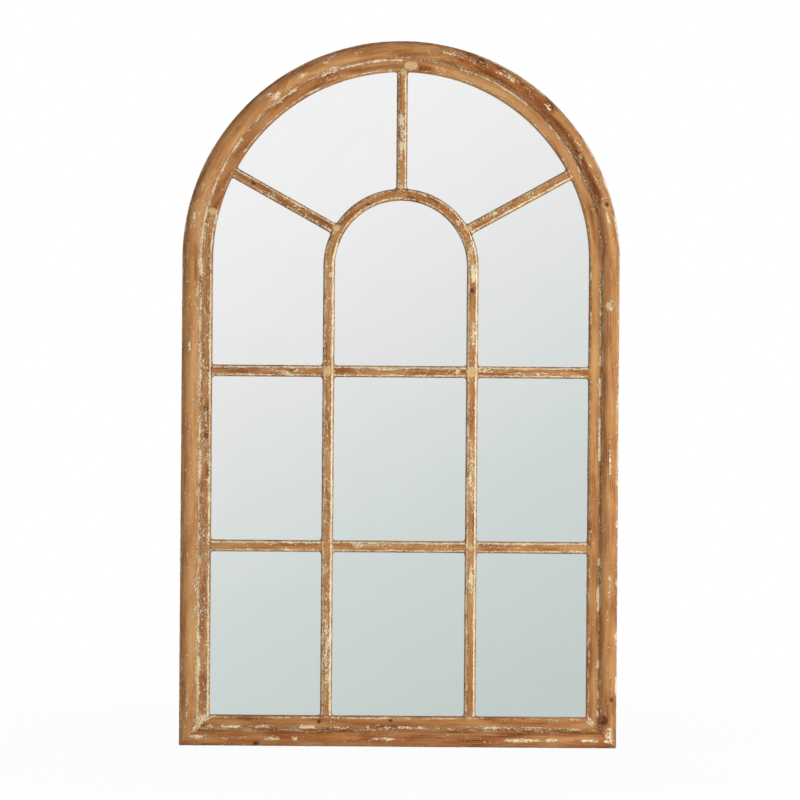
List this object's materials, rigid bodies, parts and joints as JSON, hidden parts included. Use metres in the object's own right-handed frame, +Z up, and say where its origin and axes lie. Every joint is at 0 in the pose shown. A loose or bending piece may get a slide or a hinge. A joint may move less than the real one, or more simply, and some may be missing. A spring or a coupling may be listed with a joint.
{
  "type": "arched window mirror",
  "caption": "Round-headed window-style wall mirror: stained softwood moulding and sash, glazing bars, spokes and inner arch over mirror panes, hung by D-rings.",
  "frame": {"origin": "on the wall plane, midway between the two wall hooks, at the height where the raised D-rings bear on them", "axes": "+X to the right seen from the front, +Y out of the back into the wall, +Z up; the mirror faces -Y"},
  "size_m": [0.8, 0.043, 1.288],
  "materials": {
    "moulding_wood": "honey-brown stained knotty fir, worn cream paint left in the quirk and on the edges, satin",
    "sash_wood": "honey-brown stained knotty fir, worn cream paint at the bevel, satin",
    "bar_wood": "honey-brown stained fir bars, cream paint on the bevels and filler at the joints, satin",
    "mirror": "silvered float glass, clear",
    "board": "bare hardboard, smooth face out",
    "dowel_wood": "bare beech, fluted",
    "pin_steel": "bright drawn steel",
    "screw_steel": "yellow passivated zinc",
    "hanger_steel": "bright zinc plate",
    "bumper_rubber": "matt moulded"
  },
  "bodies": {
    "mirror": {"backing_board": "board", "board_screws": "screw_steel", "cross_bar_lower": "bar_wood", "cross_bar_upper": "bar_wood", "frame_arch_crown": "moulding_wood", "frame_arch_left": "moulding_wood", "frame_arch_right": "moulding_wood", "frame_dowels": "dowel_wood", "frame_rail": "moulding_wood", "frame_stile_left": "moulding_wood", "frame_stile_right": "moulding_wood", "hanger_screws": "screw_steel", "hanger_strap_left": "hanger_steel", "hanger_strap_right": "hanger_steel", "inner_arch_dowels": "dowel_wood", "inner_arch_left": "bar_wood", "inner_arch_right": "bar_wood", "pane_head_centre": "mirror", "pane_head_left_lower": "mirror", "pane_head_left_upper": "mirror", "pane_head_right_lower": "mirror", "pane_head_right_upper": "mirror", "pane_lower_centre": "mirror", "pane_lower_left": "mirror", "pane_lower_right": "mirror", "pane_middle_centre": "mirror", "pane_middle_left": "mirror", "pane_middle_right": "mirror", "sash_arch_crown": "sash_wood", "sash_arch_left": "sash_wood", "sash_arch_right": "sash_wood", "sash_arch_upper_right": "sash_wood", "sash_dowels": "dowel_wood", "sash_pins": "pin_steel", "sash_rail": "sash_wood", "sash_stile_left": "sash_wood", "sash_stile_right": "sash_wood", "spoke_centre": "bar_wood", "spoke_left": "bar_wood", "spoke_right": "bar_wood", "upright_left": "bar_wood", "upright_right": "bar_wood", "wall_bumper_left": "bumper_rubber", "wall_bumper_right": "bumper_rubber"},
    "ring_left": {"hanger_ring_left": "hanger_steel"},
    "ring_right": {"hanger_ring_right": "hanger_steel"}
  },
  "joints": [
    {"name": "ring_left_swing", "type": "hinge", "parent": "mirror", "child": "ring_left", "pos_m": [-0.387, -0.004, -0.016], "axis": [1, 0, 0], "range_deg": [0, 180]},
    {"name": "ring_right_swing", "type": "hinge", "parent": "mirror", "child": "ring_right", "pos_m": [0.387, -0.004, -0.016], "axis": [1, 0, 0], "range_deg": [0, 180]}
  ]
}
